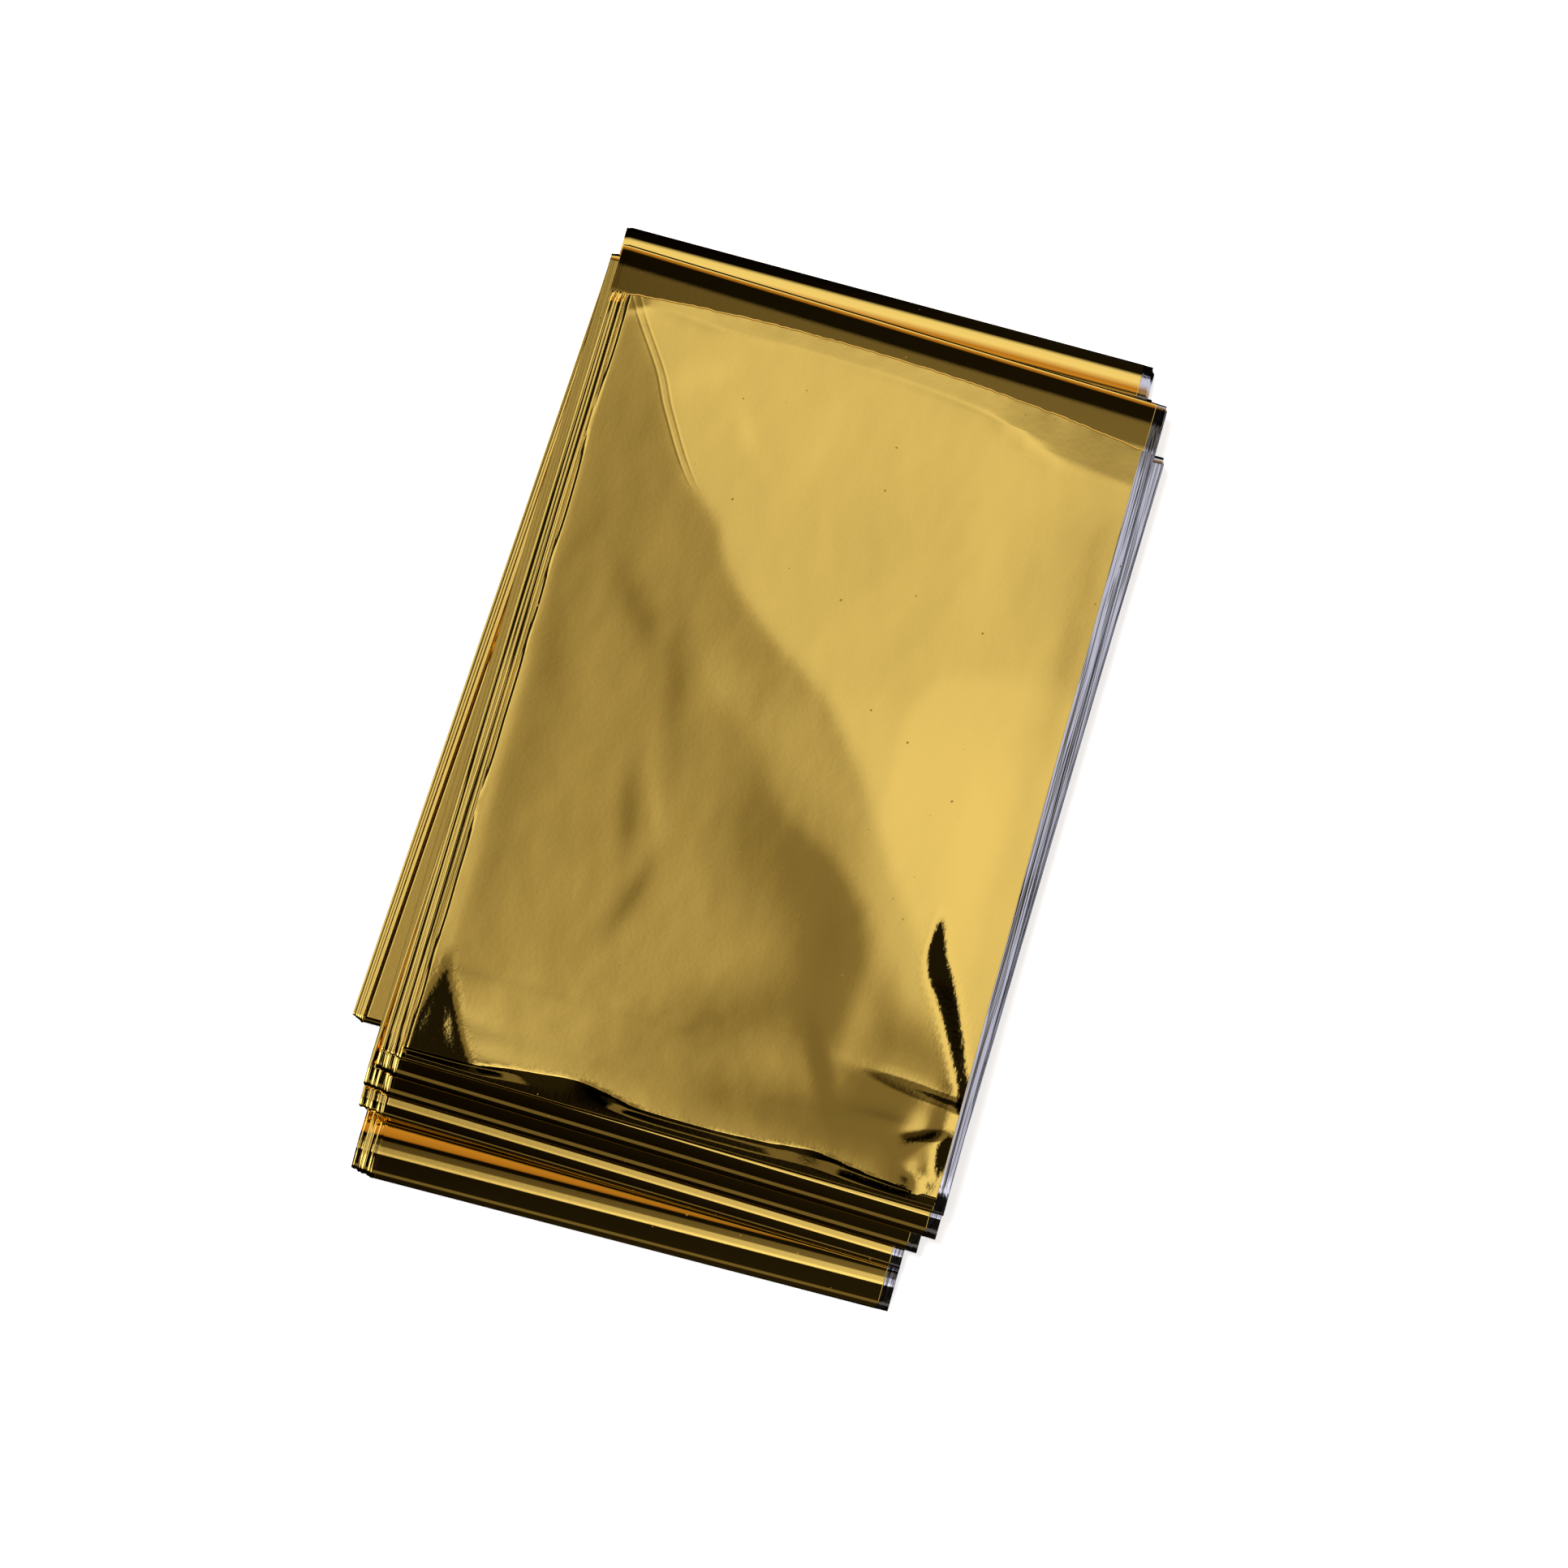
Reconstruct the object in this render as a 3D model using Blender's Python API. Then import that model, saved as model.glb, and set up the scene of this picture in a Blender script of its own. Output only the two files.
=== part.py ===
"""Emergency foil blanket, folded into a flat packet and lying on a surface.

One cut sheet of metallised film is pleated to and fro across its width into a thin ribbon of layers,
and that ribbon is folded to and fro along its length into twelve passes. The solid is that ribbon: one
back-and-forth section with a small gap between its passes. Millimetres here, metres in the mesh.
Frame: +Y towards the packet's far end, +Z up, origin under the middle of the packet, on its underside.
"""

import math
from collections import namedtuple

import bmesh
import bpy

MM = 0.001

PASSES = 12
RIBBON_THICKNESS = 1.0
PASS_PITCH = 1.3
COLUMNS = 11
PANEL_ROWS = 16
NOSE_ROWS = 8
SETTLE_ROWS = 4
TIGHT_NOSE = 0.7
LEAST_COSINE = 0.8
SHARP_EDGE = math.radians(40)
FAR_AWAY = 1000.0

CROWN_HEIGHT = 1.1
CROWN_POWER = 2.6
CREASE_HEIGHT = 0.35
CREASE_WIDTH = 6.0
CREASE_ROUTE = ((-36.0, 66.0), (-21.0, 42.0), (-13.0, 31.0), (15.0, 6.0), (22.0, -6.0), (34.0, -24.0))

HALF = RIBBON_THICKNESS / 2
TOP_LEVEL = HALF + (PASSES - 1) * PASS_PITCH

# A turn joins two passes. side is +1 at the far end and -1 at the near end. y and x are where the outside
# of its nose and its two edges lie, seen from above. step is how far the pleats' outer face stays short of
# the left edge. nose is the depth of its rounded end, upper and lower are the heights of its two legs where
# the nose begins, and settle is the length over which those legs come back to the level of their passes.
Turn = namedtuple("Turn", "side y_left y_right x_left x_right step nose upper lower settle")


def level(number):
    """Height of the middle of a pass, counted from 1 at the top."""
    return TOP_LEVEL - (number - 1) * PASS_PITCH


def tight(side, y_left, y_right, x_left, x_right, step, first_pass):
    """A turn with no slack, between first_pass and the one below."""
    upper = level(first_pass)
    return Turn(side, y_left, y_right, x_left, x_right, step, TIGHT_NOSE, upper, upper - PASS_PITCH, 0.0)


FREE_END_TOP = Turn(1, 65.2, 62.8, -38.5, 46.7, 3.4, 0.0, level(1), level(1), 0.0)
FREE_END_TOP_BOW = 2.7
FREE_END_UNDER = Turn(1, 66.0, 66.0, -40.1, 44.2, 1.5, 0.0, level(12), level(12), 0.0)

TURNS = (
    FREE_END_TOP,
    Turn(-1, -56.0, -57.9, -41.0, 46.5, 3.4, 2.2, 15.7, 13.5, 9.0),
    Turn(1, 72.2, 70.6, -39.7, 47.1, 1.5, 1.6, 11.5, 9.6, 4.0),
    Turn(-1, -59.6, -61.8, -40.7, 46.3, 2.0, 2.0, 13.0, 10.9, 2.5),
    tight(1, 62.9, 62.9, -38.0, 48.8, 1.5, 4),
    Turn(-1, -62.6, -64.6, -43.2, 44.1, 1.5, 2.0, 9.6, 7.5, 6.0),
    tight(1, 71.0, 71.0, -42.0, 44.8, 1.5, 6),
    tight(-1, -52.8, -52.8, -48.8, 38.5, 1.6, 7),
    tight(1, 65.5, 65.5, -40.7, 45.4, 1.5, 8),
    Turn(-1, -66.0, -67.9, -44.2, 42.3, 1.5, 2.8, 6.2, 3.7, 6.0),
    Turn(1, 75.6, 75.6, -40.1, 43.8, 1.5, 4.7, 5.7, 0.5, 4.3),
    Turn(-1, -75.6, -74.5, -42.8, 42.3, 1.8, 4.8, 4.5, 0.5, 3.6),
    FREE_END_UNDER,
)


def mix(start, end, share):
    return start + (end - start) * share


def ease(share):
    """0 to 1 with level ends."""
    share = min(max(share, 0.0), 1.0)
    return share * share * (3 - 2 * share)


def nose_tip(turn, across):
    """Middle of the ribbon at the tip of a turn; the table gives the outside of it."""
    tip = mix(turn.y_left, turn.y_right, across)
    if turn is FREE_END_TOP:
        return tip + FREE_END_TOP_BOW * 4 * across * (1 - across)
    if turn.nose:
        tip -= turn.side * HALF
    return tip


def nose_root(turn, across):
    return nose_tip(turn, across) - turn.side * turn.nose


def pass_height(number, y, across):
    """Height of the middle of a pass at y, with its two ends eased to the legs of its turns."""
    before = TURNS[number - 1]
    after = TURNS[number]
    height = level(number)
    for turn, leg in ((before, before.lower), (after, after.upper)):
        if turn.settle:
            distance = abs(nose_root(turn, across) - y) / turn.settle
            height += (leg - level(number)) * (1 - ease(distance))
    return height


Row = namedtuple("Row", "number at turning")


def pass_rows(number):
    """Rows along a pass, each at a share of its length or a distance from one of its ends."""
    before = TURNS[number - 1]
    after = TURNS[number]
    rows = [Row(number, ("start", 0.0), None)]
    steps = range(1, SETTLE_ROWS + 1)
    if before.settle:
        rows += [Row(number, ("start", before.settle * step / SETTLE_ROWS), None) for step in steps]
    if number == 1:
        rows += [Row(number, ("share", step / PANEL_ROWS), None) for step in range(1, PANEL_ROWS)]
    else:
        rows.append(Row(number, ("share", 0.5), None))
    if after.settle and number > 1:
        rows += [Row(number, ("end", after.settle * step / SETTLE_ROWS), None) for step in reversed(steps)]
    rows.append(Row(number, ("end", 0.0), None))
    return rows


def ribbon_rows():
    """All rows of the ribbon, from its upper free end to its lower one."""
    rows = []
    for number in range(1, PASSES + 1):
        rows += pass_rows(number)
        if number < PASSES:
            rows += [Row(number, None, math.pi * step / NOSE_ROWS) for step in range(1, NOSE_ROWS)]
    return rows


def middle_point(row, across):
    """(y, z) of the middle of the ribbon on a row."""
    after = TURNS[row.number]
    if row.turning is None:
        start = nose_root(TURNS[row.number - 1], across)
        end = nose_root(after, across)
        kind, amount = row.at
        if kind == "share":
            y = mix(start, end, amount)
        elif kind == "start":
            y = start + math.copysign(amount, end - start)
        else:
            y = end - math.copysign(amount, end - start)
        return y, pass_height(row.number, y, across)
    centre = (after.upper + after.lower) / 2
    half_height = (after.upper - after.lower) / 2
    y = nose_root(after, across) + after.side * after.nose * math.sin(row.turning)
    return y, centre + half_height * math.cos(row.turning)


def edges_at(row, y):
    """(outer face's left, inner face's left, right) of the ribbon on a row."""
    before = TURNS[row.number - 1]
    after = TURNS[row.number]
    along = 1.0
    if row.turning is None:
        start = nose_root(before, 0.5)
        along = min(max((y - start) / (nose_root(after, 0.5) - start), 0.0), 1.0)
    left = mix(before.x_left, after.x_left, along)
    right = mix(before.x_right, after.x_right, along)
    return left + mix(before.step, after.step, along), left, right


def unit(dy, dz):
    length = math.hypot(dy, dz) or 1.0
    return dy / length, dz / length


def normals(points):
    """(ny, nz) at each point of one column, lengthened at bends so that the thickness stays even."""
    found = []
    for index, point in enumerate(points):
        before = points[max(index - 1, 0)]
        after = points[min(index + 1, len(points) - 1)]
        into = unit(point[0] - before[0], point[1] - before[1])
        out_of = unit(after[0] - point[0], after[1] - point[1])
        if index == 0:
            into = out_of
        if index == len(points) - 1:
            out_of = into
        along = unit(into[0] + out_of[0], into[1] + out_of[1])
        stretch = 1 / max(along[0] * into[0] + along[1] * into[1], LEAST_COSINE)
        found.append((along[1] * stretch, -along[0] * stretch))
    return found


def distance_to_crease(x, y):
    nearest = FAR_AWAY
    for (x0, y0), (x1, y1) in zip(CREASE_ROUTE, CREASE_ROUTE[1:]):
        run_x, run_y = x1 - x0, y1 - y0
        share = ((x - x0) * run_x + (y - y0) * run_y) / (run_x**2 + run_y**2)
        share = min(max(share, 0.0), 1.0)
        nearest = min(nearest, math.hypot(x - x0 - share * run_x, y - y0 - share * run_y))
    return nearest


def panel_relief(x, y, left, right, near, far):
    """How far the top panel stands proud of its pass: a low crown and one long soft crease."""
    sideways = abs(2 * (x - left) / (right - left) - 1)
    lengthways = abs(2 * (y - near) / (far - near) - 1)
    crown = max(1 - sideways**CROWN_POWER, 0.0) * max(1 - lengthways**CROWN_POWER, 0.0)
    crease = math.exp(-((distance_to_crease(x, y) / CREASE_WIDTH) ** 2))
    return crown * (CROWN_HEIGHT + CREASE_HEIGHT * crease)


def flat_slab(columns, rows):
    """A closed slab of unit size: columns across X, rows along Y, one cell thick."""
    slab = bmesh.new()
    bmesh.ops.create_grid(slab, x_segments=columns, y_segments=rows, size=0.5)
    raised = bmesh.ops.extrude_face_region(slab, geom=slab.faces[:])
    for vert in raised["geom"]:
        if isinstance(vert, bmesh.types.BMVert):
            vert.co.z += 1.0
    bmesh.ops.recalc_face_normals(slab, faces=slab.faces)
    return slab


def fold(slab, rows):
    """Moves each point of the slab to its place in the folded ribbon."""
    last = len(rows) - 1
    middles = []
    outwards = []
    for column in range(COLUMNS + 1):
        points = [middle_point(row, column / COLUMNS) for row in rows]
        middles.append(points)
        outwards.append(normals(points))
    for vert in slab.verts:
        column = round((vert.co.x + 0.5) * COLUMNS)
        index = round((0.5 - vert.co.y) * last)
        row = rows[index]
        is_outer = vert.co.z > 0.5
        y, z = middles[column][index]
        normal_y, normal_z = outwards[column][index]
        outer_left, inner_left, right = edges_at(row, y)
        left = outer_left if is_outer else inner_left
        x = mix(left, right, column / COLUMNS)
        offset = HALF if is_outer else -HALF
        lift = 0.0
        if is_outer and row.number == 1 and row.turning is None:
            near = nose_root(TURNS[1], column / COLUMNS)
            far = nose_tip(FREE_END_TOP, column / COLUMNS)
            lift = panel_relief(x, y, left, right, near, far)
        vert.co = (x * MM, (y + normal_y * offset) * MM, (z + normal_z * offset + lift) * MM)


def gold_film():
    """Metallised film, gold side."""
    material = bpy.data.materials.new("gold_film")
    material.use_nodes = True
    shader = material.node_tree.nodes["Principled BSDF"]
    shader.inputs["Base Color"].default_value = (0.83, 0.6, 0.2, 1.0)
    shader.inputs["Metallic"].default_value = 1.0
    shader.inputs["Roughness"].default_value = 0.12
    return material


def folded_blanket():
    rows = ribbon_rows()
    body = flat_slab(COLUMNS, len(rows) - 1)
    fold(body, rows)
    mesh = bpy.data.meshes.new("foil_blanket")
    body.to_mesh(mesh)
    body.free()
    mesh.materials.append(gold_film())
    mesh.shade_smooth()
    mesh.set_sharp_from_angle(angle=SHARP_EDGE)
    blanket = bpy.data.objects.new("foil_blanket", mesh)
    bpy.context.scene.collection.objects.link(blanket)
    return blanket


def main():
    for leftover in list(bpy.data.objects):
        bpy.data.objects.remove(leftover)
    folded_blanket()


main()
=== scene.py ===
"""Emergency foil blanket folded into a flat packet: the one thin sheet with all its pleats and folds.

The flat cut is pleated to and fro across its width, and the ribbon of layers is folded to and fro along its
length. Sizes are in millimetres unless a name says metres; meshes are in metres, in the row's frame.
"""

import math
from collections import namedtuple

import bmesh
import bpy
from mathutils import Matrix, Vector, noise


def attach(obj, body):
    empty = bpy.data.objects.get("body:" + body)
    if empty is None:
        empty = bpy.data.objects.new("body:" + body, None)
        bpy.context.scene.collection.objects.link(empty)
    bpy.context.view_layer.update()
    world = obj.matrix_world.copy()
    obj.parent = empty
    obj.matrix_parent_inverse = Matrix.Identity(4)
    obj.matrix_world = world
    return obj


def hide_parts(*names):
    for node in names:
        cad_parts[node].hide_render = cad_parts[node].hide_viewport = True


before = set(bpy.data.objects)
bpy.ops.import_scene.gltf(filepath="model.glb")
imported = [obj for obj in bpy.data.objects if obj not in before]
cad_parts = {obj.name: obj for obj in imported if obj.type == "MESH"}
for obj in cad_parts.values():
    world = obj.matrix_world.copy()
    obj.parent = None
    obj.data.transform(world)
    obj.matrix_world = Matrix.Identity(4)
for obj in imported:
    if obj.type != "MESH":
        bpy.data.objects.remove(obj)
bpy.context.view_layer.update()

MM = 0.001

# The cut, its passes and its layers. A section is a pass or the turn after it.
FILM_THICKNESS = 0.012
PASSES = 12
SECTIONS = 2 * PASSES - 1
LAYERS = 24
RIBBON_THICKNESS = 1.0
PASS_PITCH = 1.3
LAYER_PITCH = RIBBON_THICKNESS / LAYERS
HALF = RIBBON_THICKNESS / 2
TOP_LEVEL = HALF + (PASSES - 1) * PASS_PITCH
TIGHT_NOSE = 0.7

# Rough lengths of film in a pass and in a turn, and from side to side of a layer
PASS_LENGTH = 126.0
NOSE_LENGTH = 6.0
LAYER_WIDTH = 85.0

# A turn joins two passes, as in the solid: side, where the outside of its nose and its edges lie, how far
# the staircase of pleats steps in at the left, the depth of the nose, the heights of its legs, the length
# over which they come back to the level of their passes, and how square the nose is: 2 is an ellipse, less
# is pointed and more is blunt.
Turn = namedtuple("Turn", "side y_left y_right x_left x_right step nose upper lower settle blunt")


def level(number):
    """Height of the middle of a pass, counted from 1 at the top."""
    return TOP_LEVEL - (number - 1) * PASS_PITCH


def tight(side, y_left, y_right, x_left, x_right, step, first_pass):
    """A turn with no slack, between first_pass and the one below."""
    upper = level(first_pass)
    return Turn(side, y_left, y_right, x_left, x_right, step, TIGHT_NOSE, upper, upper - PASS_PITCH, 0.0, 2.0)


TURNS = (
    Turn(1, 65.2, 62.8, -39.6, 46.7, 2.4, 0.0, level(1), level(1), 0.0, 2.0),
    Turn(-1, -56.6, -57.9, -43.0, 46.5, 3.2, 0.7, 14.8, 13.5, 0.0, 3.1),
    Turn(1, 72.7, 70.5, -39.7, 47.1, 1.5, 0.7, 12.7, 11.55, 7.5, 8.0),
    Turn(-1, -59.6, -61.8, -43.2, 46.3, 2.9, 3.0, 12.3, 10.2, 3.0, 1.4),
    tight(1, 62.9, 62.9, -38.0, 48.8, 1.5, 4),
    Turn(-1, -62.6, -64.6, -44.3, 44.1, 3.8, 3.4, 9.6, 7.5, 4.0, 1.4),
    tight(1, 71.0, 71.0, -41.2, 44.8, 1.8, 6),
    tight(-1, -52.8, -52.8, -48.8, 38.5, 1.6, 7),
    tight(1, 65.5, 65.5, -40.7, 45.4, 1.5, 8),
    Turn(-1, -66.0, -67.9, -44.2, 42.3, 3.5, 2.8, 6.2, 3.7, 6.0, 2.5),
    Turn(1, 75.6, 76.0, -40.1, 43.8, 1.5, 4.7, 5.7, 0.5, 4.3, 1.4),
    Turn(-1, -75.6, -74.5, -42.8, 42.3, 3.2, 4.8, 4.5, 0.5, 8.0, 2.0),
    Turn(1, 66.0, 66.0, -40.1, 44.2, 1.5, 0.0, level(12), level(12), 0.0, 2.0),
)

# How far the raw edge of the upper free end bows out in its middle
FREE_END_BOW = 2.7

# How far to either side, as a share of a section, the ribbon's direction is measured
SLOPE_STEP = 0.002

# Pleat folds at the left, from the outer layer inwards: how far each stops short of the edge, as a share
# of the turn's step. At the right, folds stop a few tenths of a millimetre short, and the two raw edges lie
# further in.
LEFT_INSETS = (0.95, 0.92, 0.81, 0.77, 0.50, 0.46, 0.30, 0.27, 0.02, 0.0, 0.24, 0.45)
RIGHT_INSETS = (0.0, 0.12, 0.3, 0.22, 0.45, 0.38, 0.6, 0.5, 0.35, 0.42, 0.3)
RAW_EDGE_INSET = 1.75

# Every other pleat curls up beside its left fold, more in some places along the ribbon than in others
CURLING_FOLDS = (0, 2, 4, 6, 8)
CURL_HEIGHT = 0.1
CURL_PLACE = 0.28
CURL_WIDTH = 0.17
CURL_UNEVEN = 1.6
CURL_LENGTH = 9.0
CURL_SEED = 1.5
CURL_SEED_STEP = 3.3

# How far from a fold a layer closes up to its neighbour
TIP_ROUND = 0.1

# The edge of the upper free end is cut unevenly
RAW_EDGE_JAG = 0.22
JAG_LENGTH = 0.7
JAG_FADE = 2.0
JAG_SEEDS = (2.9, 4.4)

# The ribbon rises and sinks a little along its length
UNEVEN = 0.07
UNEVEN_ALONG = 21.0
UNEVEN_SEEDS = (0.7, 0.3)

# Each pleat fold wanders a little sideways. Left folds are numbered from 0, and right folds and the raw
# edges from these two numbers.
LINE_WANDER = 0.13
LINE_WANDER_LENGTH = 17.0
WANDER_SEED = 0.5
WANDER_SEED_STEP = 5.7
FIRST_RIGHT_FOLD = 20
RAW_EDGE = 40

# The flat grid's columns beside a layer's left and right folds, by their distance from them, and between
# the folds of the first layer
LEFT_CURLED = (0.1, 0.19, 0.28, 0.4, 0.6, 1.0)
LEFT_PLAIN = (0.1,)
RIGHT_STATIONS = (0.1,)
PANEL_COLUMNS = 14

# Its rows: in the stretches of the top panel from the far end, in noses, in the ends of passes that settle,
# and at shares of each pass below. A nose blunter than this one has as many rows as a loose one.
Stretch = namedtuple("Stretch", "length rows")
PANEL_STRETCHES = (Stretch(4.5, 2), Stretch(101.5, 10), Stretch(20.0, 5))
NOSE_ROWS = 12
TIGHT_NOSE_ROWS = 6
SETTLE_ROWS = 5
MIDDLE_ROWS = (0.25, 0.5, 0.75)
BLUNT_NOSE = 3.0

# The top panel's cells are cut finer, and so are those of the first turn up to the place where it goes
# under. Places that differ by less than these margins are the same.
PANEL_CUTS = 7
TURN_GOES_UNDER = 1.6
ROUNDING = 1e-6
COLUMN_MARGIN = 1e-4

# Folds sharper than this are shaded as edges
SHARP_EDGE = math.radians(60)


def mix(start, end, share):
    return start + (end - start) * share


def ease(share):
    """0 to 1 with level ends."""
    share = min(max(share, 0.0), 1.0)
    return share * share * (3 - 2 * share)


def nose_tip(index, across):
    """Middle of the ribbon at the tip of a turn; the table gives the outside of it."""
    turn = TURNS[index]
    tip = mix(turn.y_left, turn.y_right, across)
    if index == 0:
        return tip + FREE_END_BOW * 4 * across * (1 - across)
    if turn.nose:
        tip -= turn.side * HALF
    return tip


def nose_root(index, across):
    turn = TURNS[index]
    return nose_tip(index, across) - turn.side * turn.nose


def pass_height(number, y, across):
    """Height of the middle of a pass at y, with its two ends brought to the legs of its turns.

    A leg above its level is reached in an S, and one below it in a droop that steepens up to the nose.
    """
    height = level(number)
    for index, leg in ((number - 1, TURNS[number - 1].lower), (number, TURNS[number].upper)):
        if TURNS[index].settle:
            share = min(abs(nose_root(index, across) - y) / TURNS[index].settle, 1.0)
            rise = leg - level(number)
            height += rise * ((1 - ease(share)) if rise > 0 else (1 - share) ** 2)
    return height


def droop(turn, leg, number):
    """Slope at which a drooping leg runs into its nose."""
    return 2 * (level(number) - leg) / turn.settle if turn.settle and leg < level(number) else 0.0


def middle_point(section, share, across):
    """(y, z) of the middle of the ribbon. Even sections are passes and odd ones are turns."""
    if section % 2 == 0:
        number = section // 2 + 1
        y = mix(nose_root(number - 1, across), nose_root(number, across), share)
        return y, pass_height(number, y, across)
    index = (section + 1) // 2
    turn = TURNS[index]
    angle = math.pi * share
    out = turn.nose * math.sin(angle) ** (2 / turn.blunt)
    tilt = mix(droop(turn, turn.upper, index), droop(turn, turn.lower, index + 1), share)
    rise = math.copysign(abs(math.cos(angle)) ** (2 / turn.blunt), math.cos(angle))
    z = (turn.upper + turn.lower) / 2 + (turn.upper - turn.lower) / 2 * rise - tilt * out
    return nose_root(index, across) + turn.side * out, z


def middle_and_normal(section, share, across):
    """(y, z) of the middle of the ribbon and its unit normal, towards the first layer."""
    low, high = max(share - SLOPE_STEP, 0.0), min(share + SLOPE_STEP, 1.0)
    before, after = middle_point(section, low, across), middle_point(section, high, across)
    run_y, run_z = after[0] - before[0], after[1] - before[1]
    length = math.hypot(run_y, run_z)
    return middle_point(section, share, across), (run_z / length, -run_y / length)


def side_edges(section, share):
    """(left, right, step) of the ribbon at a place along it."""
    index = (section + 1) // 2
    if section % 2:
        turn = TURNS[index]
        return turn.x_left, turn.x_right, turn.step
    before, after = TURNS[index], TURNS[index + 1]
    return (
        mix(before.x_left, after.x_left, share),
        mix(before.x_right, after.x_right, share),
        mix(before.step, after.step, share),
    )


def length_along(section, share):
    """Rough length of film from the upper free end, for patterns that follow the sheet."""
    passes, noses = (section + 1) // 2, section // 2
    part = share * (NOSE_LENGTH if section % 2 else PASS_LENGTH)
    return passes * PASS_LENGTH + noses * NOSE_LENGTH + part


def wander(number, along):
    """A pleat fold's small sideways drift along the ribbon."""
    place = Vector((along / LINE_WANDER_LENGTH, WANDER_SEED_STEP * number, WANDER_SEED))
    return LINE_WANDER * noise.noise(place)


def layer_ends(layer, left, right, step, along):
    """(x of the layer's left fold, x of its right fold or raw edge)."""
    left_fold = layer // 2
    left_x = left + LEFT_INSETS[left_fold] * step + wander(left_fold, along)
    if layer in (0, LAYERS - 1):
        return left_x, right - RAW_EDGE_INSET + wander(RAW_EDGE, along)
    right_fold = (layer - 1) // 2
    return left_x, right - RIGHT_INSETS[right_fold] + wander(FIRST_RIGHT_FOLD + right_fold, along)


def layer_offset(layer, to_left, to_right, along):
    """Height of a layer over the middle of the ribbon, closed up at its folds and curled up beside some."""
    offset = HALF - (layer + 0.5) * LAYER_PITCH
    has_left_after = layer % 2 == 0
    for distance, is_after, is_raw in (
        (to_left, has_left_after, False),
        (to_right, not has_left_after, layer in (0, LAYERS - 1)),
    ):
        if distance < TIP_ROUND and not is_raw:
            rise = math.sqrt(1 - (1 - distance / TIP_ROUND) ** 2)
            fold_middle = offset + (-LAYER_PITCH / 2 if is_after else LAYER_PITCH / 2)
            offset = mix(fold_middle, offset, rise)
    if layer % 2 == 0 and layer // 2 in CURLING_FOLDS:
        place = Vector((along / CURL_LENGTH, CURL_SEED_STEP * layer, CURL_SEED))
        uneven = 1 + CURL_UNEVEN * noise.noise(place)
        curl = math.exp(-(((to_left - CURL_PLACE) / CURL_WIDTH) ** 2)) * ease(to_left / TIP_ROUND)
        offset += CURL_HEIGHT * max(uneven, 0.0) * curl
    return offset


# The top panel. Its film is nearly flat, so what shows is its slopes, which are given here. A slope is more
# than 0 where the film falls away to the right, or to the far end.

# Its general shape: a low crown, a rise towards both long sides for each square millimetre, its height over
# its pass, and the slopes across that it has at its near end and at its far end
CROWN_HEIGHT = 0.05
CROWN_POWER = 2.6
BOWL = 0.00009
PANEL_BASE = 0.75
WHOLE_SLOPES = (-0.0045, -0.009)

# The layers below stay this far under the panel's lowest part, which is looked for in as many steps
UNDER_PANEL = 0.08
UNDER_PANEL_STEPS = 6

# The length over which the panel comes down to its near turn, at places across
Bend = namedtuple("Bend", "x length")
NEAR_BENDS = (
    Bend(-45.0, 0.6), Bend(-34.0, 0.6), Bend(-29.0, 0.8), Bend(-24.0, 1.8), Bend(-19.0, 2.5),
    Bend(-13.0, 3.2), Bend(-9.0, 2.7), Bend(-4.0, 1.6), Bend(2.0, 1.3), Bend(16.0, 1.8), Bend(25.0, 2.7),
    Bend(32.0, 1.7), Bend(39.0, 1.0), Bend(46.0, 1.0),
)

# A hinge is a line from far to near across which the slope changes. Soft is half the width of the bend. The
# change may differ along it, so each of its knots has one.
Hinge = namedtuple("Hinge", "soft knots")
Knot = namedtuple("Knot", "y x change")
MAIN_HINGE = Hinge(
    0.5,
    (
        Knot(75.0, -41.0, 0.016), Knot(63.5, -35.0, 0.016), Knot(55.0, -29.3, 0.016),
        Knot(50.0, -26.8, 0.015), Knot(40.0, -20.3, 0.013), Knot(35.5, -14.8, 0.013),
        Knot(31.0, -12.4, 0.013), Knot(26.5, -9.3, 0.013), Knot(24.0, -6.2, 0.013),
        Knot(19.5, -0.3, 0.013), Knot(15.0, 7.0, 0.013), Knot(10.0, 12.0, 0.013),
        Knot(2.5, 18.0, 0.013), Knot(-3.0, 21.0, 0.012), Knot(-9.0, 25.0, 0.010),
        Knot(-20.0, 33.0, 0.008), Knot(-40.0, 44.0, 0.006), Knot(-60.0, 50.0, 0.006),
    ),
)
# the right side of the hollow
INNER_HINGE = Hinge(
    1.0,
    (
        Knot(18.0, -15.0, 0.0), Knot(10.0, -8.0, 0.003), Knot(4.0, 0.0, 0.004),
        Knot(-4.5, 7.0, 0.006), Knot(-9.0, 15.0, 0.008), Knot(-13.0, 20.0, 0.010),
        Knot(-17.0, 23.0, 0.011), Knot(-25.0, 25.0, 0.011), Knot(-31.0, 25.0, 0.010),
        Knot(-38.0, 24.0, 0.006), Knot(-46.0, 24.0, 0.0),
    ),
)
# the left and far sides of the brightest patch
BRIGHT_HINGE = Hinge(
    0.5,
    (
        Knot(27.0, 40.0, 0.0), Knot(24.5, 34.0, 0.002), Knot(23.0, 29.5, 0.005),
        Knot(21.5, 25.5, 0.006), Knot(18.0, 22.3, 0.006), Knot(14.0, 20.7, 0.006),
        Knot(8.0, 20.8, 0.006), Knot(2.0, 21.2, 0.006), Knot(-3.0, 21.8, 0.005),
        Knot(-8.0, 24.0, 0.004), Knot(-14.0, 28.0, 0.002), Knot(-22.0, 32.0, 0.0),
    ),
)
HINGES = (MAIN_HINGE, INNER_HINGE, BRIGHT_HINGE)
MAIN_HINGE_Y = [knot.y for knot in MAIN_HINGE.knots]
MAIN_HINGE_X = [knot.x for knot in MAIN_HINGE.knots]
# Distance from the main hinge that is given to all film outside the panel and its near turn
NOWHERE = 1000.0

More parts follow.
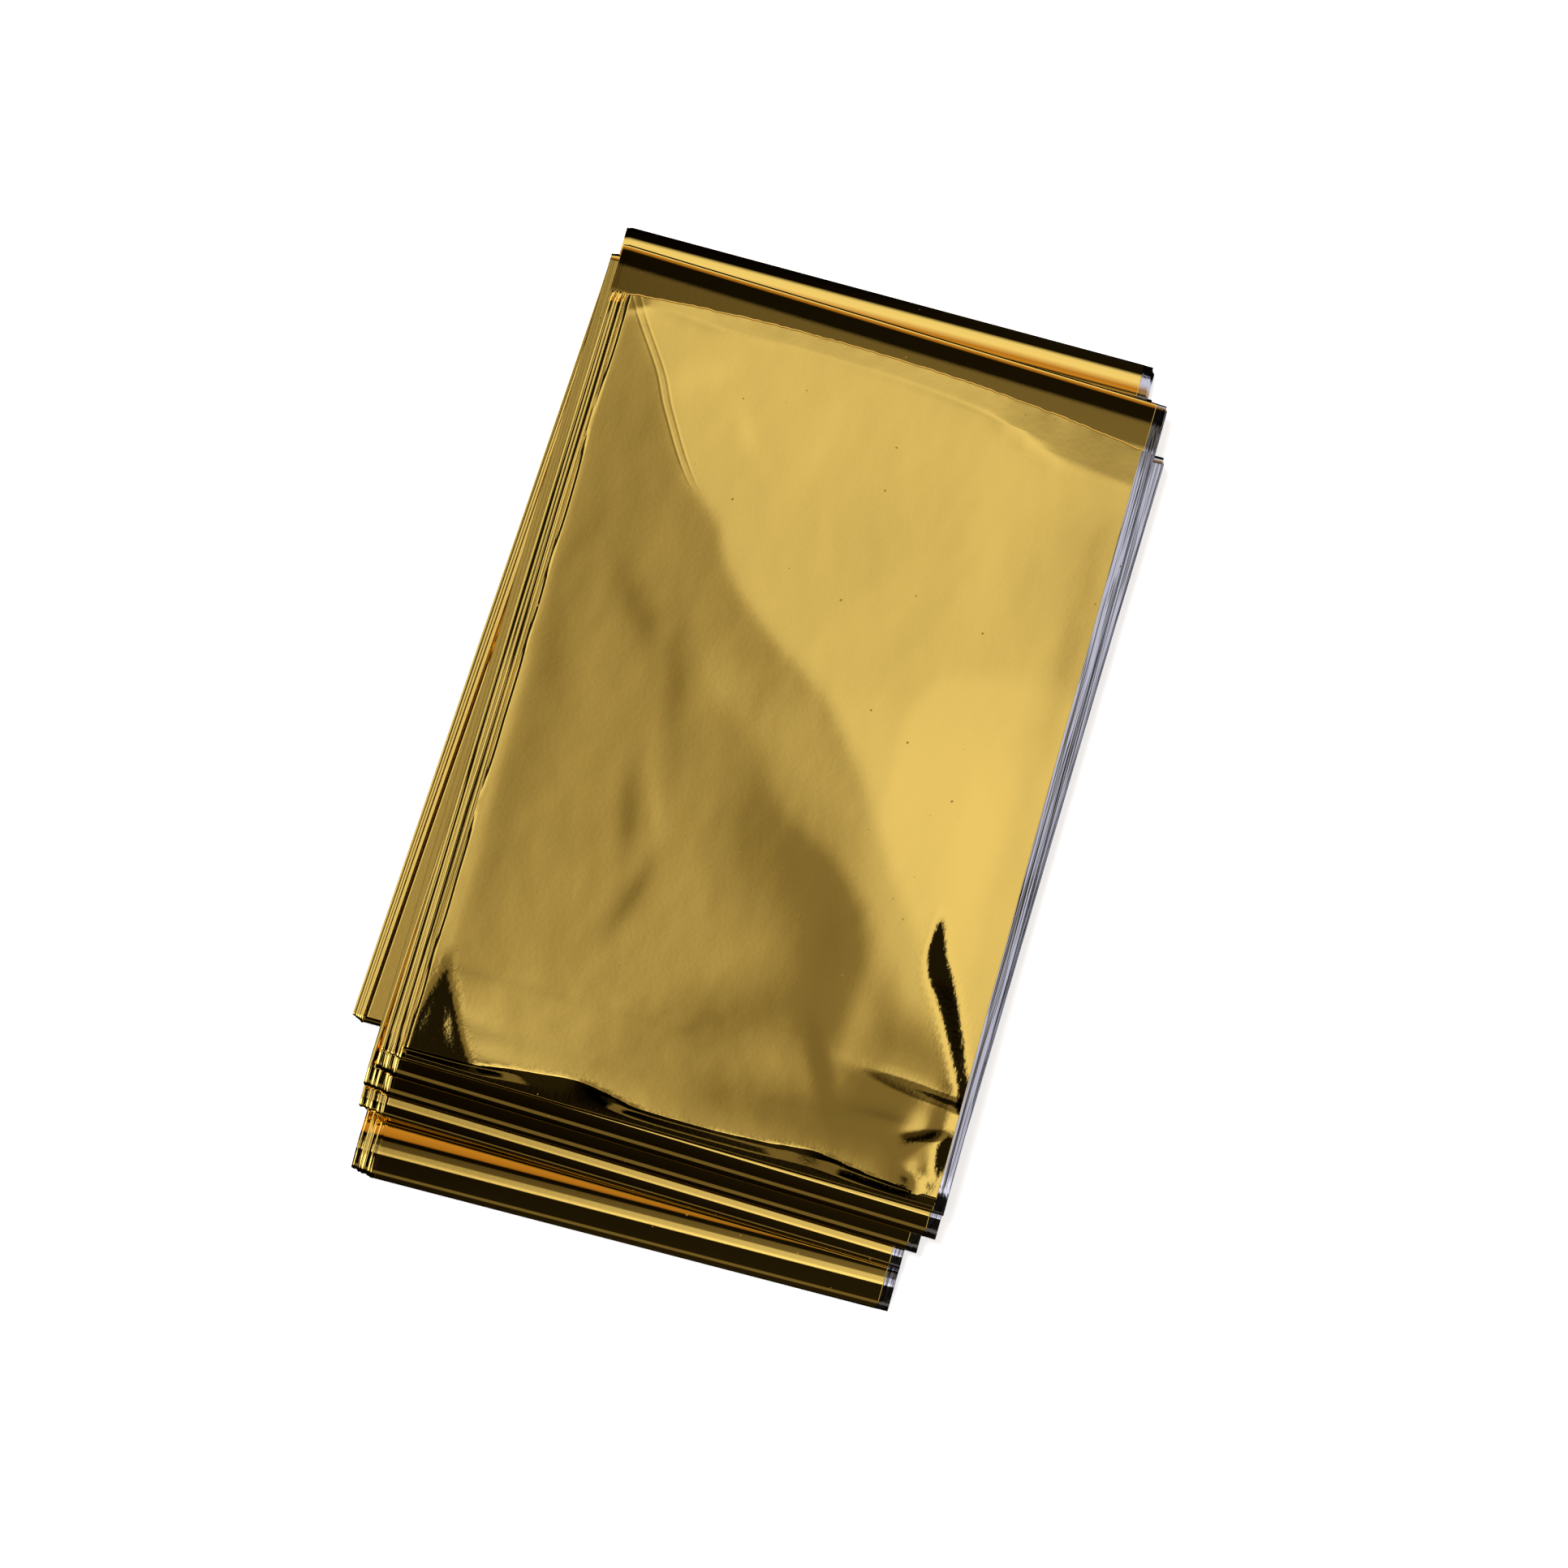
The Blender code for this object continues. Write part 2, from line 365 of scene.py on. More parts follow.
# A facet is a strip from far to near, between two edges, where the film tilts steeply across. Beyond it the
# film fades back by a share of what it has gone down, over a reach.
Facet = namedtuple("Facet", "slope fade reach edges")
Edges = namedtuple("Edges", "y left right")
# at the near left corner
CORNER_FACET = Facet(
    -0.054, 0.3, 12.0,
    (
        Edges(-37.5, -36.7, -36.7), Edges(-40.0, -37.0, -36.6), Edges(-42.0, -37.3, -35.9),
        Edges(-46.0, -37.9, -34.0), Edges(-50.0, -38.5, -31.9), Edges(-53.0, -38.9, -29.9),
        Edges(-58.0, -39.6, -26.0),
    ),
)
# the narrow sliver by the right margin
SLIVER_FACET = Facet(
    0.08, 0.0, 1.0,
    (
        Edges(-12.5, 34.3, 34.3), Edges(-15.0, 33.9, 34.8), Edges(-17.5, 33.7, 35.6),
        Edges(-20.0, 33.7, 36.7), Edges(-23.0, 34.6, 38.5), Edges(-25.5, 36.3, 39.8),
        Edges(-28.0, 37.9, 41.0), Edges(-31.0, 39.5, 42.3), Edges(-34.0, 41.0, 43.6),
        Edges(-37.0, 42.5, 44.7), Edges(-39.5, 43.6, 45.2), Edges(-43.0, 45.2, 45.2),
    ),
)
FACETS = (CORNER_FACET, SLIVER_FACET)

# A patch is a soft oval where the film tilts across. Lean is how far it leans to the right for each
# millimetre towards the far end.
Patch = namedtuple("Patch", "x y wide long lean slope")
PATCHES = (
    # the dark hollow left of the inner hinge, and the dimmer film from there to the near right corner
    Patch(12.0, -13.0, 11.0, 13.0, -0.6, -0.011),
    Patch(20.0, -27.0, 5.0, 10.0, -0.2, -0.010),
    Patch(5.0, -38.0, 8.0, 7.0, 0.7, -0.008),
    Patch(34.0, -36.0, 8.0, 6.0, -0.3, -0.009),
    Patch(33.0, -46.0, 9.0, 5.0, 0.0, -0.011),
    Patch(38.0, -35.0, 4.0, 7.0, -0.5, -0.014),
    Patch(19.0, -35.5, 8.0, 5.5, -0.2, -0.006),
    Patch(30.0, -37.0, 3.5, 5.0, 0.0, -0.009),
    Patch(40.0, -54.0, 5.0, 3.0, 0.0, -0.009),
    Patch(20.0, -49.0, 22.0, 5.0, 0.0, -0.010),
    Patch(22.5, -41.0, 1.3, 6.0, -0.5, -0.02),
    # the brightest patch by the right edge with its dimmer near end, and the pale column over it
    Patch(36.0, -2.0, 3.0, 13.0, -0.1, 0.009),
    Patch(30.0, -30.0, 3.5, 9.0, -0.5, -0.010),
    Patch(26.0, 42.0, 3.8, 15.0, 0.0, 0.004),
    Patch(38.0, 46.0, 4.5, 12.0, 0.0, -0.004),
    # streaks in the left half
    Patch(-22.5, 19.0, 2.6, 5.0, -0.6, -0.006),
    Patch(-14.0, 10.0, 1.8, 11.0, -0.2, -0.006),
    Patch(-16.0, -11.0, 1.6, 6.0, -0.15, -0.010),
    Patch(-12.5, -9.0, 0.9, 5.0, -0.35, 0.006),
    Patch(-12.5, -24.0, 1.5, 6.0, 0.3, -0.010),
    Patch(-5.0, -19.0, 3.0, 7.0, -0.5, 0.001),
    Patch(-33.5, -8.0, 2.2, 40.0, 0.0, -0.003),
    Patch(-37.5, -5.0, 0.9, 45.0, 0.0, 0.010),
    # small creases in the far part
    Patch(-14.0, 50.0, 1.2, 3.5, -0.6, 0.009),
    Patch(-23.0, 56.0, 3.0, 3.5, 1.0, 0.005),
    Patch(-3.0, 50.0, 2.5, 8.0, 0.2, 0.003),
    # brighter streaks in the facet at the near left corner
    Patch(-38.0, -49.0, 0.5, 4.0, 0.05, -0.06),
    Patch(-33.9, -50.0, 0.45, 3.0, -0.35, -0.06),
    # the steep band along the right margin, by the near right corner
    Patch(43.9, -48.5, 1.2, 7.0, 0.05, 0.10),
    # the panel's right margin
    Patch(42.5, 20.0, 3.0, 42.0, 0.0, -0.009),
)

# The same, but tilting lengthways and leaning towards the far end for each millimetre to the right. What each
# goes down is made up for by a shallow slope against it, COUNTER times as wide.
SHORT_FOLDS = (
    Patch(42.0, -40.7, 0.95, 10.0, -0.1, 0.23),
    Patch(40.8, -46.8, 0.7, 3.0, 0.3, 0.2),
    Patch(41.0, -53.0, 0.6, 2.0, -0.2, 0.16),
)
COUNTER = 11.0

# A ridge is a line across, with the slopes at which the film falls away beyond it and before it. Reach is how
# far those slopes last and round is how soft the crest is.
Ridge = namedtuple("Ridge", "far_reach near_reach round knots")
CrestKnot = namedtuple("CrestKnot", "x y far_slope near_slope")
FAR_RIDGE = Ridge(
    60.0, 0.6, 0.2,
    (
        CrestKnot(-60.0, 60.0, 0.012, 0.03), CrestKnot(-36.5, 63.0, 0.014, 0.06),
        CrestKnot(-33.0, 64.3, 0.018, 0.12), CrestKnot(-20.0, 63.7, 0.02, 0.12),
        CrestKnot(-10.0, 63.9, 0.022, 0.12), CrestKnot(8.0, 63.4, 0.022, 0.11),
        CrestKnot(20.0, 62.2, 0.026, 0.08), CrestKnot(25.0, 60.8, 0.032, 0.05),
        CrestKnot(29.0, 59.0, 0.036, 0.03), CrestKnot(34.0, 57.4, 0.037, 0.01),
        CrestKnot(40.0, 56.8, 0.037, 0.01), CrestKnot(60.0, 56.0, 0.037, 0.01),
    ),
)

# Small unevenness of the panel's film
Rough = namedtuple("Rough", "height wide long seed")
ROUGHNESSES = (Rough(0.008, 9.0, 12.0, 3.1), Rough(0.0022, 3.0, 3.5, 7.7), Rough(0.001, 1.6, 2.0, 1.3))

# The slope of a patch or a short fold is a bell, taken as nothing this many times its length away
BELL_REACH = 3
HALF_BELL = math.sqrt(math.pi) / 2

# Fine ruffles go with steep film: patches steeper than STEEP, short folds, facets and the near bend. Their
# spread is in widths of a patch or fold, and in millimetres beside a facet. At the near end they are gone at
# RUFFLE_FADE times the bend's length and RUFFLE_BEFORE_BEND together.
STEEP = 0.05
RUFFLE_SPREAD = 1.5
RUFFLE_BEFORE_BEND = 0.6
RUFFLE_FADE = 1.5


def smooth_between(places, values, place):
    """A smooth curve through the values, for places that run one way."""
    last = len(places) - 1
    sign = 1 if places[-1] > places[0] else -1
    place = sign * min(max(sign * place, sign * places[0]), sign * places[-1])
    index = 0
    while index < last - 1 and sign * place > sign * places[index + 1]:
        index += 1
    width = places[index + 1] - places[index]
    share = (place - places[index]) / width

    def tangent(number):
        low, high = max(number - 1, 0), min(number + 1, last)
        return (values[high] - values[low]) / (places[high] - places[low]) * width

    start, end = values[index], values[index + 1]
    leave, reach = tangent(index), tangent(index + 1)
    cubed, squared = share**3, share**2
    return (
        start * (2 * cubed - 3 * squared + 1) + leave * (cubed - 2 * squared + share)
        + end * (3 * squared - 2 * cubed) + reach * (cubed - squared)
    )


def hinge_height(hinge, x, y):
    """How far the film has gone down to the right of a hinge."""
    places = [knot.y for knot in hinge.knots]
    if y > places[0] or y < places[-1]:
        return 0.0
    change = smooth_between(places, [knot.change for knot in hinge.knots], y)
    away = (x - smooth_between(places, [knot.x for knot in hinge.knots], y)) / hinge.soft
    return -change * hinge.soft * (away + math.sqrt(away**2 + 1)) / 2


def facet_edges(facet, y):
    """(left, right) edge of a facet at y."""
    places = [edges.y for edges in facet.edges]
    left = smooth_between(places, [edges.left for edges in facet.edges], y)
    right = smooth_between(places, [edges.right for edges in facet.edges], y)
    return left, max(right, left)


def facet_height(facet, x, y):
    """How far the film has gone down across a facet."""
    if y > facet.edges[0].y or y < facet.edges[-1].y:
        return 0.0
    left, right = facet_edges(facet, y)
    if x < right:
        return -facet.slope * max(x - left, 0.0)
    return -facet.slope * (right - left) * (1 - facet.fade * (1 - math.exp((right - x) / facet.reach)))


def ridge_height(ridge, x, y):
    """Height of the film beside a ridge that runs across, highest along it."""
    places = [knot.x for knot in ridge.knots]
    away = y - smooth_between(places, [knot.y for knot in ridge.knots], x)
    far_slope = smooth_between(places, [knot.far_slope for knot in ridge.knots], x)
    near_slope = smooth_between(places, [knot.near_slope for knot in ridge.knots], x)
    slope, reach = (far_slope, ridge.far_reach) if away > 0 else (near_slope, ridge.near_reach)
    fall = math.sqrt(away**2 + ridge.round**2) - ridge.round
    return near_slope * ridge.near_reach - slope * reach * (1 - math.exp(-fall / reach))


def patch_height(patch, x, y):
    """Height whose slope across the patch is a soft bell."""
    along = (y - patch.y) / patch.long
    if abs(along) > BELL_REACH:
        return 0.0
    across = (x - patch.x - patch.lean * (y - patch.y)) / patch.wide
    return -patch.slope * patch.wide * HALF_BELL * math.erf(across) * math.exp(-(along**2))


def fold_height(fold, x, y):
    """Height whose slope lengthways is a soft bell, with a wide shallow one against it."""
    along = (x - fold.x) / fold.long
    if abs(along) > BELL_REACH:
        return 0.0
    across = (y - fold.y - fold.lean * (x - fold.x)) / fold.wide
    step = math.erf(across) - math.erf(across / COUNTER)
    return -fold.slope * fold.wide * HALF_BELL * step * math.exp(-(along**2))


def near_bend(x):
    """Length of the bend down to the near turn at x."""
    return smooth_between([bend.x for bend in NEAR_BENDS], [bend.length for bend in NEAR_BENDS], x)


def ruffle(x, y, near):
    """How much the film is ruffled, from 0 to 1."""
    total = ease(RUFFLE_FADE - (y - near) / (near_bend(x) + RUFFLE_BEFORE_BEND))
    for patch in PATCHES:
        if abs(patch.slope) > STEEP:
            across = (x - patch.x - patch.lean * (y - patch.y)) / (patch.wide * RUFFLE_SPREAD)
            total += math.exp(-(across**2) - ((y - patch.y) / (patch.long * RUFFLE_SPREAD)) ** 2)
    for fold in SHORT_FOLDS:
        across = (y - fold.y - fold.lean * (x - fold.x)) / (fold.wide * RUFFLE_SPREAD)
        total += math.exp(-(across**2) - ((x - fold.x) / fold.long) ** 2)
    for facet in FACETS:
        if facet.edges[-1].y < y < facet.edges[0].y:
            left, right = facet_edges(facet, y)
            away = max(left - x, x - right, 0.0)
            total += math.exp(-((away / RUFFLE_SPREAD) ** 2)) * ease(right - left)
    return min(total, 1.0)


def panel_relief(x, y, left, right, near, far):
    """How far the top panel stands proud of its pass."""
    lengthways = min(max((y - near) / (far - near), 0.0), 1.0)
    sideways = min(abs(2 * (x - left) / (right - left) - 1), 1.0)
    height = CROWN_HEIGHT * (1 - sideways**CROWN_POWER) * (1 - abs(2 * lengthways - 1) ** CROWN_POWER)
    height += PANEL_BASE + BOWL * x**2 - mix(*WHOLE_SLOPES, lengthways) * (x - left)
    height += ridge_height(FAR_RIDGE, x, y)
    height += sum(hinge_height(hinge, x, y) for hinge in HINGES)
    height += sum(patch_height(patch, x, y) for patch in PATCHES)
    for rough in ROUGHNESSES:
        height += rough.height * noise.noise(Vector((x / rough.wide, y / rough.long, rough.seed)))
    height += sum(facet_height(facet, x, y) for facet in FACETS)
    height += sum(fold_height(fold, x, y) for fold in SHORT_FOLDS)
    return max(height * min((y - near) / near_bend(x), 1.0), 0.0)


def under_panel_lift(y, left, right, near, far):
    """How far the layers below the top one rise with it: as much as its lowest part does."""
    places = [mix(left, right, step / UNDER_PANEL_STEPS) for step in range(UNDER_PANEL_STEPS + 1)]
    lowest = min(panel_relief(x, y, left, right, near, far) for x in places)
    return max(lowest - UNDER_PANEL, 0.0)


# The sheet

def column_places():
    """The grid's columns. A whole number is the start of a layer, and the rest are shares of one."""
    places = []
    for layer in range(LAYERS):
        curled = layer % 2 == 0 and layer // 2 in CURLING_FOLDS
        left = [distance / LAYER_WIDTH for distance in (LEFT_CURLED if curled else LEFT_PLAIN)]
        right = [distance / LAYER_WIDTH for distance in RIGHT_STATIONS]
        middle = []
        if layer == 0:
            low, high = right[-1], 1 - left[-1]
            middle = [mix(low, high, step / PANEL_COLUMNS) for step in range(1, PANEL_COLUMNS)]
        first, last = (right, left) if layer % 2 == 0 else (left, right)
        shares = [0.0, *first, *middle, *(1 - share for share in reversed(last))]
        places += [layer + share for share in shares]
    return [*places, float(LAYERS)]


def panel_row_shares():
    """Rows of the top panel, closer at its two ends."""
    whole = sum(length for length, _ in PANEL_STRETCHES)
    shares, start = [], 0.0
    for length, rows in PANEL_STRETCHES:
        shares += [(start + length * step / rows) / whole for step in range(rows)]
        start += length
    return shares


def row_places():
    """The grid's rows. A whole number is the start of a section, and the rest are shares of one."""
    places = []
    for section in range(SECTIONS):
        if section % 2:
            turn = TURNS[(section + 1) // 2]
            is_loose = turn.nose > TIGHT_NOSE or turn.blunt > BLUNT_NOSE
            count = NOSE_ROWS if is_loose else TIGHT_NOSE_ROWS
            shares = [step / count for step in range(count)]
        elif section == 0:
            shares = panel_row_shares()
        else:
            before, after = TURNS[section // 2].settle, TURNS[section // 2 + 1].settle
            steps = range(1, SETTLE_ROWS + 1)
            start = [before * step / SETTLE_ROWS / PASS_LENGTH for step in steps] if before else []
            end = [1 - after * step / SETTLE_ROWS / PASS_LENGTH for step in reversed(steps)] if after else []
            shares = [0.0, *start, *MIDDLE_ROWS, *end]
        places += [section + share for share in shares]
    return [*places, float(SECTIONS)]


def refine_panel(sheet):
    """Finer cells where the sheet is seen from above: the first layer of the first pass and of its turn."""
    middle_start = RIGHT_STATIONS[-1] / LAYER_WIDTH - COLUMN_MARGIN
    middle_end = 1 - LEFT_CURLED[-1] / LAYER_WIDTH + COLUMN_MARGIN
    panel_end = 1 + COLUMN_MARGIN
    chosen = []
    for edge in sheet.edges:
        (a0, b0, _), (a1, b1, _) = edge.verts[0].co, edge.verts[1].co
        if abs(b0 - b1) < ROUNDING:
            is_inside = middle_start < min(a0, a1) and max(a0, a1) < middle_end
            is_seen = is_inside and b0 < TURN_GOES_UNDER
        else:
            is_seen = a0 <= panel_end and max(b0, b1) <= panel_end
        if is_seen:
            chosen.append(edge)
    bmesh.ops.subdivide_edges(sheet, edges=chosen, cuts=PANEL_CUTS, use_grid_fill=True)


def folded_place(across_place, along_place):
    """Where a point of the flat sheet lies, how far from the main hinge, and how much it is ruffled."""
    layer = min(int(across_place + ROUNDING), LAYERS - 1)
    section = min(int(along_place + ROUNDING), SECTIONS - 1)
    from_start = across_place - layer
    share = along_place - section
    along = length_along(section, share)
    left, right, step = side_edges(section, share)
    left_x, right_x = layer_ends(layer, left, right, step, along)
    to_left_share = 1 - from_start if layer % 2 == 0 else from_start
    x = mix(left_x, right_x, to_left_share)
    to_left = to_left_share * LAYER_WIDTH
    to_right = (1 - to_left_share) * LAYER_WIDTH
    across = (x - left) / (right - left)
    (y, z), (normal_y, normal_z) = middle_and_normal(section, share, across)
    offset = layer_offset(layer, to_left, to_right, along)
    offset += UNEVEN * noise.noise(Vector((UNEVEN_SEEDS[0], along / UNEVEN_ALONG, UNEVEN_SEEDS[1])))
    lift = 0.0
    if section == 0:
        near, far = nose_root(1, across), nose_tip(0, across)
        if layer == 0:
            lift = panel_relief(x, y, left, right, near, far)
            jag = RAW_EDGE_JAG * noise.noise(Vector((x / JAG_LENGTH, *JAG_SEEDS)))
            y += jag * math.exp(JAG_FADE * (y - far))
        else:
            lift = under_panel_lift(y, left, right, near, far)
    place = Vector((x, y + normal_y * offset, z + normal_z * offset + lift)) * MM
    if layer > 0 or section > 1:
        return place, NOWHERE, 0.0
    return place, x - smooth_between(MAIN_HINGE_Y, MAIN_HINGE_X, y), ruffle(x, y, nose_root(1, across))


def build_blanket():
    """The whole cut as one grid, refined where it is seen, then folded."""
    columns, rows = column_places(), row_places()
    sheet = bmesh.new()
    bmesh.ops.create_grid(sheet, x_segments=len(columns) - 1, y_segments=len(rows) - 1, size=0.5)
    for vert in sheet.verts:
        column = round((vert.co.x + 0.5) * (len(columns) - 1))
        row = round((vert.co.y + 0.5) * (len(rows) - 1))
        vert.co = (columns[column], rows[row], 0.0)
    refine_panel(sheet)
    from_crease = sheet.verts.layers.float.new("from_crease")
    ruffled = sheet.verts.layers.float.new("ruffled")
    for vert in sheet.verts:
        vert.co, vert[from_crease], vert[ruffled] = folded_place(vert.co.x, vert.co.y)
    mesh = bpy.data.meshes.new("blanket_sheet")
    sheet.to_mesh(mesh)
    sheet.free()
    mesh.shade_smooth()
    mesh.set_sharp_from_angle(angle=SHARP_EDGE)
    blanket = bpy.data.objects.new("blanket_sheet", mesh)
    bpy.context.scene.collection.objects.link(blanket)
    film = blanket.modifiers.new("film", "SOLIDIFY")
    film.thickness = FILM_THICKNESS * MM
    film.offset = -1.0
    film.material_offset = 1
    film.material_offset_rim = 1
    shading = blanket.modifiers.new("shading", "WEIGHTED_NORMAL")
    shading.mode = "FACE_AREA"
    shading.keep_sharp = True
    return blanket


# Finishes. Their lengths are in metres.

GOLD = (0.95, 0.65, 0.155, 1.0)
GOLD_ROUGHNESS = 0.025
SILVER = (0.57, 0.57, 0.69, 1.0)
SILVER_ROUGHNESS = 0.04

# Relief too fine for the mesh: noise of a scale and detail, and how high it is. All film has grain, gold film
# has dimples and, where it is steep, ruffles, and silver film has streaks along it.
Relief = namedtuple("Relief", "scale detail height")
GRAIN = Relief(5000.0, 3.0, 0.0000003)
DIMPLES = Relief(1300.0, 2.0, 0.0000009)
RUFFLES = Relief(1500.0, 4.0, 0.00001)
STREAKS = Relief(1.0, 2.0, 0.00006)
STREAKS_TO_A_METRE = (1300.0, 22.0, 1300.0)

# Two fine lines beside the far part of the long crease: how far each lies from it, in millimetres, and
# between which places along the packet they begin
CREASE_LINES = (-0.3, 1.0)
CREASE_LINE_WIDTH = 0.25
CREASE_LINE_HEIGHT = 0.0000035
CREASE_LINE_START = (0.038, 0.044)

# Specks of dust: cells to a metre, the share of cells that have one, its size as a share of the cell, and
# how much rougher it is than the film
DUST_CELLS = 450.0
DUST_SHARE = 0.35
DUST_SIZE = 0.09
DUST_ROUGHNESS = 0.45


class Graph:
    """Nodes of a material or of the sky, with its sums written short."""

    def __init__(self, tree):
        self.nodes = tree.nodes
        self.links = tree.links

    def join(self, kind, operation, values):
        node = self.nodes.new(kind)
        node.operation = operation
        for socket, value in zip(node.inputs, values):
            if isinstance(value, bpy.types.NodeSocket):
                self.links.new(value, socket)
            else:
                socket.default_value = value
        return node

    def math(self, operation, *values):
        return self.join("ShaderNodeMath", operation, values).outputs["Value"]

    def vector_math(self, operation, *values):
        return self.join("ShaderNodeVectorMath", operation, values).outputs["Vector"]

    def bell(self, value, middle, width):
        """1 at the middle, falling softly to 0 on both sides."""
        away = self.math("DIVIDE", self.math("SUBTRACT", value, middle), width)
        return self.math("EXPONENT", self.math("MULTIPLY", self.math("MULTIPLY", away, away), -1.0))

    def step(self, value, low, high):
        """0 below low and 1 above high."""
        node = self.nodes.new("ShaderNodeMapRange")
        node.interpolation_type = "SMOOTHSTEP"
        self.links.new(value, node.inputs["Value"])
        node.inputs["From Min"].default_value = low
        node.inputs["From Max"].default_value = high
        return node.outputs["Result"]

    def noise(self, place, relief):
        node = self.nodes.new("ShaderNodeTexNoise")
        node.inputs["Scale"].default_value = relief.scale
        node.inputs["Detail"].default_value = relief.detail
        self.links.new(place, node.inputs["Vector"])
        return node.outputs["Fac"]


class Film(Graph):
    """A mirror-bright film. Its finest relief is bump, in metres, and dust lies on it here and there."""

    def __init__(self, name, colour):
        self.material = bpy.data.materials.new(name)
        self.material.use_nodes = True
        super().__init__(self.material.node_tree)
        self.shader = self.nodes["Principled BSDF"]
        self.shader.inputs["Base Color"].default_value = colour
        self.shader.inputs["Metallic"].default_value = 1.0
        self.place = self.nodes.new("ShaderNodeTexCoord").outputs["Object"]
        self.height = self.math("MULTIPLY", self.noise(self.place, GRAIN), GRAIN.height)

    def attribute(self, name):
        node = self.nodes.new("ShaderNodeAttribute")
        node.attribute_name = name
        return node.outputs["Fac"]

    def raise_by(self, height, metres):
        self.height = self.math("ADD", self.height, self.math("MULTIPLY", height, metres))

    def dust(self):
        """1 on a speck of dust, from a cell pattern: some of its cells have one, and each is a round dot."""
        cells = self.nodes.new("ShaderNodeTexVoronoi")
        cells.inputs["Scale"].default_value = DUST_CELLS
        self.links.new(self.place, cells.inputs["Vector"])
        pick = self.nodes.new("ShaderNodeSeparateXYZ")
        self.links.new(cells.outputs["Color"], pick.inputs["Vector"])
        size = self.math("MULTIPLY", self.step(pick.outputs["X"], 1 - DUST_SHARE, 1.0), DUST_SIZE)
        return self.math("LESS_THAN", cells.outputs["Distance"], size)

    def finish(self, roughness):
        rough = self.math("MULTIPLY", self.dust(), DUST_ROUGHNESS)
        self.links.new(self.math("ADD", rough, roughness), self.shader.inputs["Roughness"])
        bump = self.nodes.new("ShaderNodeBump")
        bump.inputs["Strength"].default_value = 1.0
        bump.inputs["Distance"].default_value = 1.0
        self.links.new(self.height, bump.inputs["Height"])
        self.links.new(bump.outputs["Normal"], self.shader.inputs["Normal"])
        return self.material


def gold_film():
    film = Film("gold_film", GOLD)
    film.raise_by(film.noise(film.place, DIMPLES), DIMPLES.height)
    from_crease = film.attribute("from_crease")
    ruffles = film.math("MULTIPLY", film.noise(film.place, RUFFLES), film.attribute("ruffled"))
    film.raise_by(ruffles, RUFFLES.height)
    split = film.nodes.new("ShaderNodeSeparateXYZ")
    film.links.new(film.place, split.inputs["Vector"])
    far_part = film.step(split.outputs["Y"], *CREASE_LINE_START)
    for line in CREASE_LINES:
        bell = film.bell(from_crease, line, CREASE_LINE_WIDTH)
        film.raise_by(film.math("MULTIPLY", bell, far_part), CREASE_LINE_HEIGHT)
    return film.finish(GOLD_ROUGHNESS)


def silver_film():
    film = Film("silver_film", SILVER)
    stretched = film.vector_math("MULTIPLY", film.place, STREAKS_TO_A_METRE)
    film.raise_by(film.noise(stretched, STREAKS), STREAKS.height)
    return film.finish(SILVER_ROUGHNESS)


blanket = build_blanket()
blanket.data.materials.append(gold_film())
blanket.data.materials.append(silver_film())
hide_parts("foil_blanket")
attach(blanket, "root")


# Studio: a pale floor, a soft sky with bright panels in it, and a key light for the shadow

WHITE = (1.0, 1.0, 1.0)
FLOOR_REACH_M = 3.0
FLOOR_LEVEL_M = -0.00003
FLOOR_COLOUR = (0.93, 0.93, 0.93, 1.0)
FLOOR_ROUGHNESS = 0.9
FLOOR_GLOW = 0.6
KEY_STRENGTH = 1.3
KEY_SPREAD = math.radians(8)
KEY_DIRECTION = (0.14, -0.1, -1.0)


def build_floor():
    """The floor, which the film doesn't mirror."""
    grid = bmesh.new()
    bmesh.ops.create_grid(grid, x_segments=1, y_segments=1, size=FLOOR_REACH_M)
    bmesh.ops.translate(grid, verts=grid.verts, vec=(0.0, 0.0, FLOOR_LEVEL_M))
    mesh = bpy.data.meshes.new("floor")
    grid.to_mesh(mesh)
    grid.free()
    floor = bpy.data.objects.new("floor", mesh)
    bpy.context.scene.collection.objects.link(floor)
    material = bpy.data.materials.new("floor_paper")
    material.use_nodes = True
    shader = material.node_tree.nodes["Principled BSDF"]
    shader.inputs["Base Color"].default_value = FLOOR_COLOUR
    shader.inputs["Roughness"].default_value = FLOOR_ROUGHNESS
    shader.inputs["Emission Color"].default_value = (*WHITE, 1.0)
    shader.inputs["Emission Strength"].default_value = FLOOR_GLOW
    mesh.materials.append(material)
    floor.visible_glossy = False


# The sky that the film mirrors, in slopes: the slope that a mirror needs for the camera overhead to see that
# part of the sky. 0 is straight up, 0.41 is 45 degrees down from there and 1 is the horizon. Each stop is a
# slope and a brightness. Overhead hang a wide soft light, brighter to the right, and a narrow one to its
# left, with black around them. Lower down are walls on all four sides, the near one dim and a warm one over
# the far one, all fading at their ends, and a lamp in the near left corner.
OVERHEAD_ACROSS = (
    (-0.14, 0.012), (-0.13, 0.75), (-0.095, 0.75), (-0.085, 0.012), (-0.045, 0.012), (-0.038, 0.2),
    (-0.019, 0.2), (-0.014, 0.26), (-0.0105, 0.31), (-0.0085, 0.36), (-0.0062, 0.49), (-0.0035, 0.55),
    (-0.001, 0.58), (0.001, 0.65), (0.0075, 0.73), (0.0105, 0.81), (0.018, 0.85), (0.024, 0.88),
    (0.045, 0.88), (0.055, 0.012),
)
OVERHEAD_ALONG = (
    (-0.14, 0.02), (-0.128, 1.8), (-0.09, 1.6), (-0.06, 1.0), (0.037, 1.0), (0.049, 0.6), (0.06, 0.24),
    (0.155, 0.22), (0.172, 0.012),
)
FAR_WALL = ((0.45, 0.0), (0.65, 0.95), (0.85, 0.9), (1.05, 0.0))
WARM_WALL = ((0.235, 0.0), (0.26, 0.4), (0.38, 0.6), (0.5, 0.4), (0.65, 0.0))
